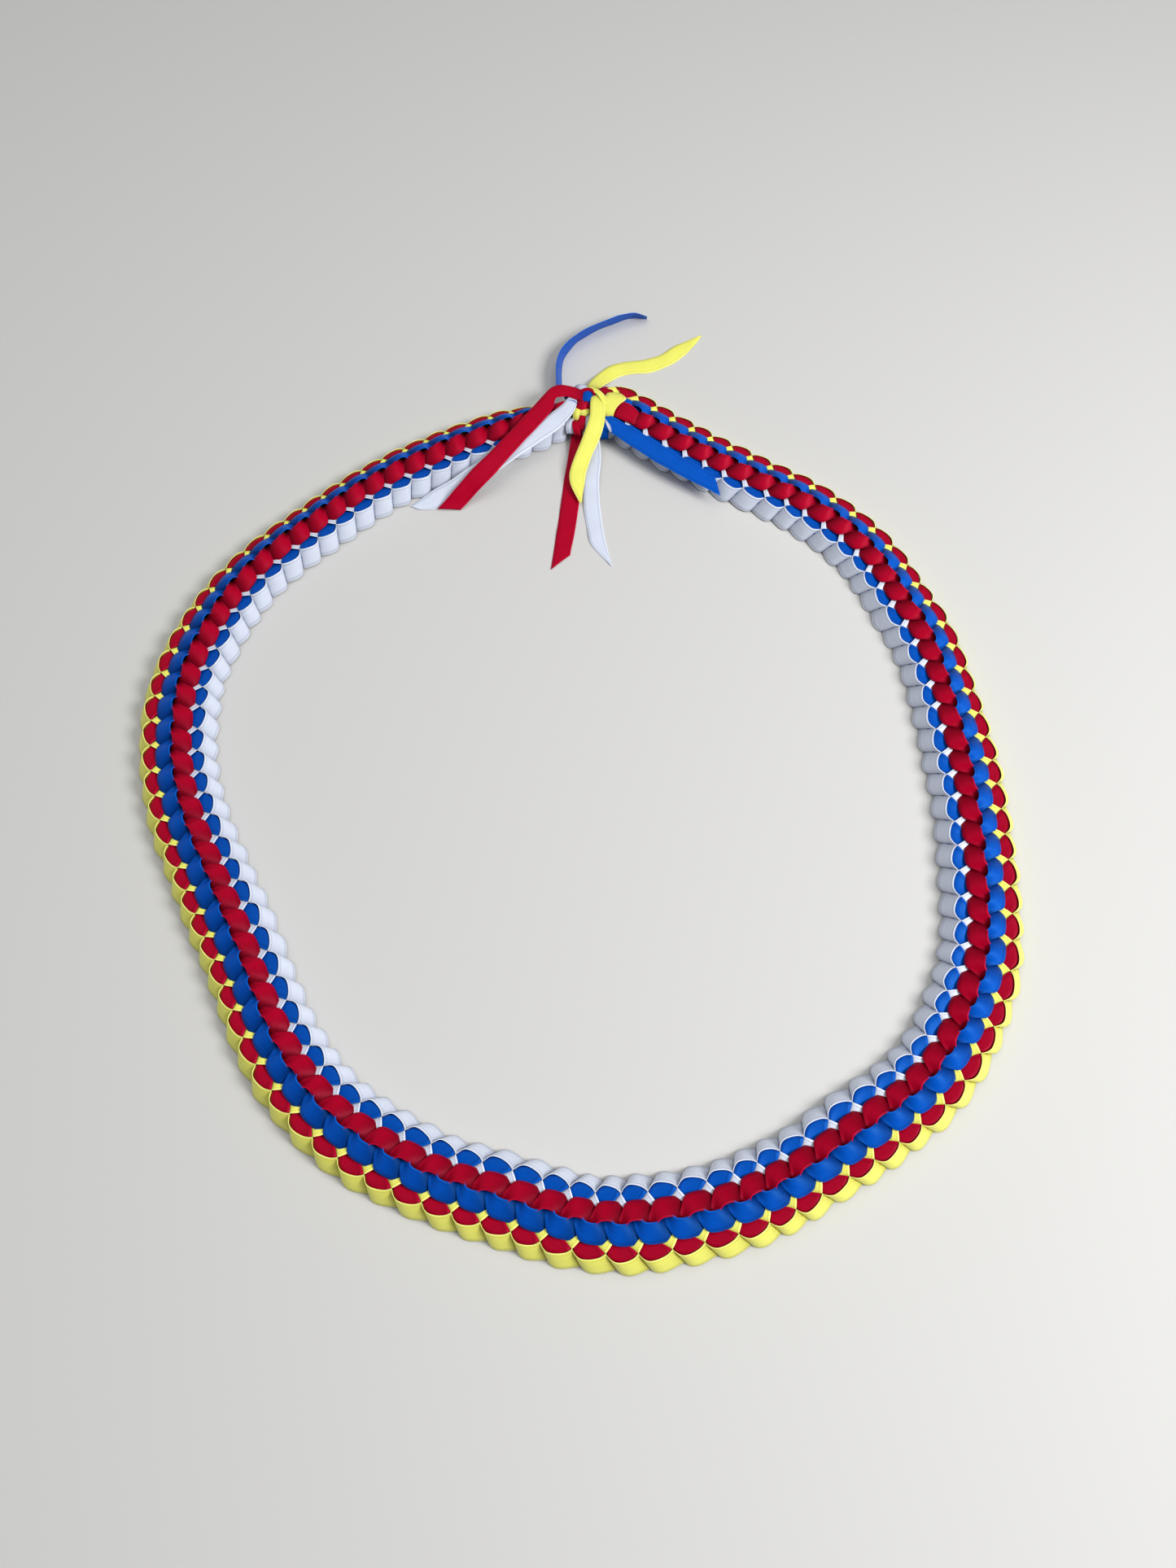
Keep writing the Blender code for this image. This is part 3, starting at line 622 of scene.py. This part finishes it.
def braid_sockets(tree):
    sockets = tree.interface
    sockets.new_socket("Turn", in_out="INPUT", socket_type="NodeSocketGeometry")
    sockets.new_socket("Ring", in_out="INPUT", socket_type="NodeSocketObject")
    for name in ("Cell Length", "Ribbon Length", "Start", "Side", "Unevenness", "Ring Length"):
        sockets.new_socket(name, in_out="INPUT", socket_type="NodeSocketFloat")
    for name in ("Cells", "Seed"):
        sockets.new_socket(name, in_out="INPUT", socket_type="NodeSocketInt")
    sockets.new_socket("Satin", in_out="INPUT", socket_type="NodeSocketMaterial")
    sockets.new_socket("Ribbon", in_out="OUTPUT", socket_type="NodeSocketGeometry")


def repeated_turns(make, given):
    """Cells of the ribbon in a straight row, joined end to end, each with its number."""
    places = make.add("GeometryNodeMeshLine",
                      {"Count": given["Cells"], "Offset": make.point(given["Cell Length"])})
    index = make.add("GeometryNodeInputIndex").outputs[0]
    marked = make.add("GeometryNodeStoreNamedAttribute",
                      {"Geometry": places.outputs[0], "Name": "cell", "Value": index},
                      data_type="FLOAT", domain="POINT")
    copies = make.add("GeometryNodeInstanceOnPoints",
                      {"Points": marked.outputs[0], "Instance": given["Turn"]})
    whole = make.add("GeometryNodeRealizeInstances", {0: copies.outputs[0]})
    joined = make.add("GeometryNodeMergeByDistance",
                      {"Geometry": whole.outputs[0], "Distance": CELL_JOINT})
    return joined.outputs[0]


def uneven_place(make, given):
    """Each point's place along, across and up on the straight band, uneven as hand braiding is."""
    read = make.parts(make.add("GeometryNodeInputPosition").outputs[0])
    across = make.maths("MULTIPLY", read[1], given["Side"])
    along = make.maths("ADD", read[0], given["Start"])
    where = make.point(along, across, read[2])
    seed = make.maths("MULTIPLY", given["Seed"], SEED_STEP)
    small = make.add("ShaderNodeTexNoise",
                     {"Vector": where, "W": seed, "Scale": BUMPS_A_METRE, "Detail": 1.0},
                     noise_dimensions="4D").outputs["Color"]
    large = make.add("ShaderNodeTexNoise",
                     {"W": make.maths("MULTIPLY", along, DRIFTS_A_METRE), "Scale": 1.0,
                      "Detail": 1.5}, noise_dimensions="1D").outputs["Color"]
    small = make.scaled(make.vector("SUBTRACT", small, (0.5, 0.5, 0.5)), given["Unevenness"])
    drift = make.parts(make.vector("SUBTRACT", large, (0.5, 0.5, 0.5)))
    bumps = make.parts(small)
    slid = make.maths("ADD", bumps[0], make.maths("MULTIPLY", drift[0], DRIFT_ALONG))
    widen = make.maths("MULTIPLY_ADD", drift[1], DRIFT_WIDTH, 1.0)
    raise_up = make.maths("MULTIPLY_ADD", drift[2], DRIFT_HEIGHT, 1.0)
    along = make.maths("ADD", along, slid)
    across = make.maths("ADD", make.maths("MULTIPLY", across, widen), bumps[1])
    up = make.maths("ADD", make.maths("MULTIPLY", read[2], raise_up), bumps[2])
    return along, across, make.maths("MAXIMUM", up, BAND_OVER_TABLE)


def slumped(make, given, along, across, up):
    """Lets the outer side lean down on the far arms, and draws it in before the last knot."""
    share = make.maths("DIVIDE", along, given["Ring Length"])
    slump = make.maths("ADD", make.smooth(share, *RIGHT_ARM_SLUMP),
                       make.smooth(share, *LEFT_ARM_SLUMP))
    outer = make.maths("MAXIMUM", make.maths("SUBTRACT", across, SLUMP_BEYOND), 0.0)
    outer = make.maths("MULTIPLY", outer, slump)
    lowered = make.maths("SUBTRACT", 1.0, make.maths("MULTIPLY", outer, SLUMP_DOWN))
    up = make.maths("MULTIPLY", up, lowered)
    across = make.maths("SUBTRACT", across, make.maths("MULTIPLY", outer, SLUMP_IN))
    pinch = make.smooth(make.maths("SUBTRACT", given["Ring Length"], along), *LAST_PINCH)
    drawn = make.maths("MULTIPLY", make.maths("MAXIMUM", across, 0.0), pinch)
    return make.maths("SUBTRACT", across, drawn), up


def bent_round(make, given, along, across, up):
    """Position in the ring of each point of the straight band."""
    inside = make.add("ShaderNodeClamp",
                      {"Value": along, "Min": 0.0, "Max": given["Ring Length"]}).outputs[0]
    beyond = make.maths("SUBTRACT", along, inside)
    curve = make.add("GeometryNodeObjectInfo", {"Object": given["Ring"]}).outputs["Geometry"]

    def on_ring(distance):
        return make.add("GeometryNodeSampleCurve", {"Curves": curve, "Length": distance},
                        mode="LENGTH").outputs["Position"]

    ahead = on_ring(make.maths("ADD", inside, TANGENT_WINDOW * MM))
    behind = on_ring(make.maths("SUBTRACT", inside, TANGENT_WINDOW * MM))
    heading = make.vector("NORMALIZE", make.vector("SUBTRACT", ahead, behind))
    outward = make.vector("CROSS_PRODUCT", (0.0, 0.0, 1.0), heading)
    to_end = make.maths("MINIMUM", inside, make.maths("SUBTRACT", given["Ring Length"], inside))
    drawn = make.smooth(to_end, 0.0, END_TAPER * MM, END_WIDTH, 1.0)
    middle = make.vector("ADD", on_ring(inside), make.scaled(heading, beyond))
    place = make.vector("ADD", middle, make.scaled(outward, make.maths("MULTIPLY", across, drawn)))
    return make.vector("ADD", place, make.point(z=up))


def braid_tree():
    """Repeats a turn of ribbon along the band, makes it uneven, and bends it round the ring."""
    tree = bpy.data.node_groups.new("braid_round_ring", "GeometryNodeTree")
    braid_sockets(tree)
    make = Nodes(tree)
    given = make.add("NodeGroupInput").outputs
    turns = repeated_turns(make, given)
    along, across, up = uneven_place(make, given)
    across, up = slumped(make, given, along, across, up)
    bent = make.add("GeometryNodeSetPosition",
                    {"Geometry": turns, "Position": bent_round(make, given, along, across, up)})
    old = make.add("GeometryNodeInputNamedAttribute", {"Name": "ribbon"},
                   data_type="FLOAT_VECTOR").outputs[0]
    cell = make.add("GeometryNodeInputNamedAttribute", {"Name": "cell"},
                    data_type="FLOAT").outputs[0]
    run = make.point(y=make.maths("MULTIPLY", cell, given["Ribbon Length"]))
    mapped = make.add("GeometryNodeStoreNamedAttribute",
                      {"Geometry": bent.outputs[0], "Name": "ribbon",
                       "Value": make.vector("ADD", old, run)},
                      data_type="FLOAT2", domain="CORNER")
    coated = make.add("GeometryNodeSetMaterial",
                      {"Geometry": mapped.outputs[0], "Material": given["Satin"]})
    make.add("NodeGroupOutput", {0: coated.outputs[0]})
    return tree


def weave_group():
    """Woven satin over a ribbon UV map: fine cords along it, selvage stitches and soft streaks."""
    group = bpy.data.node_groups.new("satin_weave", "ShaderNodeTree")
    sockets = group.interface
    sockets.new_socket("Ribbon", in_out="INPUT", socket_type="NodeSocketVector")
    for name, value in WEAVE.items():
        socket = sockets.new_socket(name, in_out="INPUT", socket_type="NodeSocketFloat")
        socket.default_value = value
    for name in ("Height", "Stitches", "Cord Shade", "Streaks", "Selvage"):
        sockets.new_socket(name, in_out="OUTPUT", socket_type="NodeSocketFloat")
    make = Nodes(group)
    given = make.add("NodeGroupInput").outputs
    place = make.parts(given["Ribbon"])
    across, along = place[0], place[1]
    edge = make.maths("MULTIPLY",
                      make.maths("MINIMUM", across, make.maths("SUBTRACT", 1.0, across)),
                      given["Width"])
    cord_turns = make.maths("MULTIPLY", across, given["Cords"])
    cords = make.maths("SINE", make.maths("MULTIPLY", cord_turns, 2 * math.pi))
    ribs = make.maths("SINE", make.maths("MULTIPLY", along, 2 * math.pi / RIB_SPACING))
    slant = make.maths("ADD", make.maths("DIVIDE", along, given["Stitch Spacing"]),
                       make.maths("MULTIPLY", edge, STITCH_SLANT))
    beat = make.maths("ABSOLUTE", make.maths("SUBTRACT", make.maths("FRACT", slant), 0.5))
    tick = make.ranged(beat, *STITCH_LENGTH)
    row = make.maths("ABSOLUTE", make.maths("SUBTRACT", edge, STITCH_ROW))
    stitches = make.maths("MULTIPLY", tick, make.ranged(row, *STITCH_HALF))
    selvage = make.ranged(edge, *SELVAGE_HALF)
    stretch = make.point(make.maths("MULTIPLY", across, STREAKS_ACROSS),
                         make.maths("MULTIPLY", along, STREAKS_A_METRE))
    streaks = make.add("ShaderNodeTexNoise",
                       {"Vector": stretch, "Scale": 1.0, "Detail": 3.0}).outputs["Fac"]
    height = make.maths("MULTIPLY_ADD", cords, CORD_HEIGHT,
                        make.maths("MULTIPLY", ribs, RIB_HEIGHT))
    height = make.maths("ADD", height, make.maths("MULTIPLY", stitches, STITCH_HEIGHT))
    height = make.maths("ADD", height, make.maths("MULTIPLY", selvage, SELVAGE_HEIGHT))
    make.add("NodeGroupOutput", {"Height": height, "Stitches": stitches, "Cord Shade": cords,
                                 "Streaks": streaks, "Selvage": selvage})
    return group


def satin(colour, weave):
    """Satin ribbon in one colour: a faint shader sheen, painted sheen streaks and a painted selvage
    highlight, darker in its stitches and cords, with painted shade where it folds under.
    """
    tones = SATIN[colour]
    made = bpy.data.materials.new("satin_" + colour)
    made.use_nodes = True
    tree = made.node_tree
    make = Nodes(tree)
    shader = tree.nodes["Principled BSDF"]
    place = make.add("ShaderNodeUVMap", uv_map="ribbon").outputs[0]
    woven = make.add("ShaderNodeGroup", {"Ribbon": place}, node_tree=weave).outputs
    painted_highlight, shade = (*tones["painted_highlight"], 1), (*tones["shade"], 1)
    # Painted sheen: noise streaks lighten the colour towards the painted highlight colour
    sheen_streaked = make.blend(make.ranged(woven["Streaks"], *SHEEN_STREAKS, high=SHEEN_STREAK_SHARE),
                          (*tones["colour"], 1), painted_highlight)
    corded = make.blend(make.ranged(woven["Cord Shade"], *DARK_CORDS, high=CORD_SHARE),
                        sheen_streaked, shade)
    sewn = make.blend(make.maths("MULTIPLY", woven["Stitches"], tones["sewn"]), corded, shade)
    # Painted highlight along the selvage
    selvage_highlighted = make.blend(make.maths("MULTIPLY", woven["Selvage"], SELVAGE_HIGHLIGHT_SHARE), sewn, painted_highlight)
    # Painted crease shade: darker towards the crease shade colour where the mesh's attribute says
    shade_depth = make.add("ShaderNodeAttribute", attribute_name="crease").outputs["Fac"]
    crease_shaded = make.blend(make.ranged(shade_depth, 0.0, 1.0, high=CREASE_SHADE_SHARE), selvage_highlighted,
                      (*tones["crease_shade_colour"], 1))
    tree.links.new(crease_shaded, shader.inputs["Base Color"])
    rough = make.ranged(woven["Streaks"], *ROUGH_STREAKS, *ROUGHNESS)
    tree.links.new(rough, shader.inputs["Roughness"])
    bump = make.add("ShaderNodeBump", {"Strength": BUMP_STRENGTH, "Distance": BUMP_DEPTH,
                                       "Height": woven["Height"]}).outputs[0]
    tree.links.new(bump, shader.inputs["Normal"])
    shader.inputs["Sheen Weight"].default_value = SHEEN
    shader.inputs["Sheen Roughness"].default_value = SHEEN_ROUGHNESS
    shader.inputs["Sheen Tint"].default_value = (*tones["gloss"], 1)
    shader.inputs["Specular Tint"].default_value = (*tones["gloss"], 1)
    shader.inputs["Specular IOR Level"].default_value = GLOSS
    return made


def declare(piece, node, colour, length, held, **resting):
    """Hangs a ribbon piece under the root body and hides the part of the model that it stands for;
    the size that it was cut to is not used.
    """
    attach(piece, "root")
    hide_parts(node)


def lay_strip(name, mesh, node, colour, satins, held, rests_on):
    """Object of a loose run of ribbon, with its satin and its thickness."""
    area = sum(polygon.area for polygon in mesh.polygons)
    piece = bpy.data.objects.new(name, mesh)
    bpy.context.scene.collection.objects.link(piece)
    mesh.materials.append(satins[colour])
    thicken(piece)
    declare(piece, node, colour, area / (RIBBON_WIDTH * MM), held, rests_on=rests_on)


def ring_curve(route):
    curve = bpy.data.curves.new("ring_route", "CURVE")
    curve.dimensions = "3D"
    line = curve.splines.new("POLY")
    line.points.add(len(route) - 1)
    for point, place in zip(line.points, route):
        point.co = (place[0] * MM, place[1] * MM, 0, 1)
    ring = bpy.data.objects.new("ring_route", curve)
    bpy.context.scene.collection.objects.link(ring)
    return ring


def braid_ribbons(satins):
    """The four ribbons all round the ring, each as a plain mesh."""
    route = smooth_route(RING_ROUTE, ROUTE_STEPS) - np.array(RING_MIDDLE)
    ring_length = route_length(route)
    pitch = (ring_length - START_GAP) / (TURNS + SPARE_TURNS)
    ring = ring_curve(route)
    tree = braid_tree()
    for colour, stations, side, shift, turns_over in BRAID:
        name = "braided_" + colour
        cell, ribbon_length = turn_cell(name, stations, pitch, turns_over)
        per_cell = 2 if turns_over else 1
        piece = bpy.data.objects.new(name, cell)
        bpy.context.scene.collection.objects.link(piece)
        nodes = piece.modifiers.new("braid", "NODES")
        nodes.node_group = tree
        values = {
            "Ring": ring,
            "Cell Length": pitch * per_cell * MM,
            "Ribbon Length": ribbon_length,
            "Start": (START_GAP + shift * pitch) * MM,
            "Side": float(side),
            "Unevenness": UNEVENNESS,
            "Ring Length": ring_length * MM,
            "Cells": TURNS // per_cell,
            "Seed": SEED,
            "Satin": satins[colour],
        }
        for key, value in values.items():
            nodes[input_named(tree, key)] = value
        piece = flat_mesh(piece)
        thicken(piece)
        declare(piece, "ribbon_" + colour, colour, ribbon_length * (TURNS // per_cell), "folded")
    bpy.data.objects.remove(ring)


def lay_free_ends(satins):
    for node, stations in TAILS.items():
        name = node + "_ribbon"
        mesh = laid_strip(name, stations, TAIL_STEP, END_CREASE_SHADE, 0.0)
        lay_strip(name, mesh, node, node.split("_")[1], satins, "draped", TAIL_RESTS[node])


def tie_knot(satins):
    for colour, runs in KNOT_RUNS.items():
        name = "knot_" + colour + "_wraps"
        meshes = [laid_strip("knot_run", run, WRAP_STEP, END_CREASE_SHADE, END_CREASE_SHADE) for run in runs]
        lay_strip(name, joined_mesh(name, meshes), "knot", colour, satins, "folded", ["knot_core"])
    lay_strip("knot_core", wound_core("knot_core"), "knot", "blue", satins, "folded",
              ["braided_blue"])


def studio():
    """Camera at the photograph's angle, a pale floor and soft daylight from the front right."""
    camera = bpy.data.cameras.new("camera")
    camera.lens = LENS
    camera.sensor_width = 36.0
    camera.clip_start = 0.01
    eye = bpy.data.objects.new("camera", camera)
    eye.location = CAMERA_PLACE
    eye.rotation_euler = (math.radians(90 - CAMERA_DOWN), 0, 0)
    bpy.context.scene.collection.objects.link(eye)
    bpy.context.scene.camera = eye

    half = FLOOR_HALF
    mesh = bpy.data.meshes.new("floor")
    mesh.from_pydata([(-half, -half, 0), (half, -half, 0), (half, half, 0), (-half, half, 0)],
                     [], [(0, 1, 2, 3)])
    floor = bpy.data.objects.new("floor", mesh)
    bpy.context.scene.collection.objects.link(floor)
    paint = bpy.data.materials.new("floor_paint")
    paint.use_nodes = True
    shader = paint.node_tree.nodes["Principled BSDF"]
    shader.inputs["Base Color"].default_value = FLOOR_COLOUR
    shader.inputs["Roughness"].default_value = 0.8
    mesh.materials.append(paint)

    for name, (place, size, power) in LIGHTS.items():
        light = bpy.data.lights.new(name, "AREA")
        light.size = size
        light.energy = power
        lamp = bpy.data.objects.new(name, light)
        lamp.location = place
        lamp.rotation_euler = (-Vector(place)).to_track_quat("-Z", "Y").to_euler()
        bpy.context.scene.collection.objects.link(lamp)
    world = bpy.data.worlds.new("sky")
    world.use_nodes = True
    background = world.node_tree.nodes["Background"]
    background.inputs["Color"].default_value = SKY_COLOUR
    background.inputs["Strength"].default_value = SKY_STRENGTH
    bpy.context.scene.world = world
    bpy.context.scene.view_settings.view_transform = "Standard"


weave = weave_group()
satins = {colour: satin(colour, weave) for colour in SATIN}
braid_ribbons(satins)
lay_free_ends(satins)
tie_knot(satins)
studio()
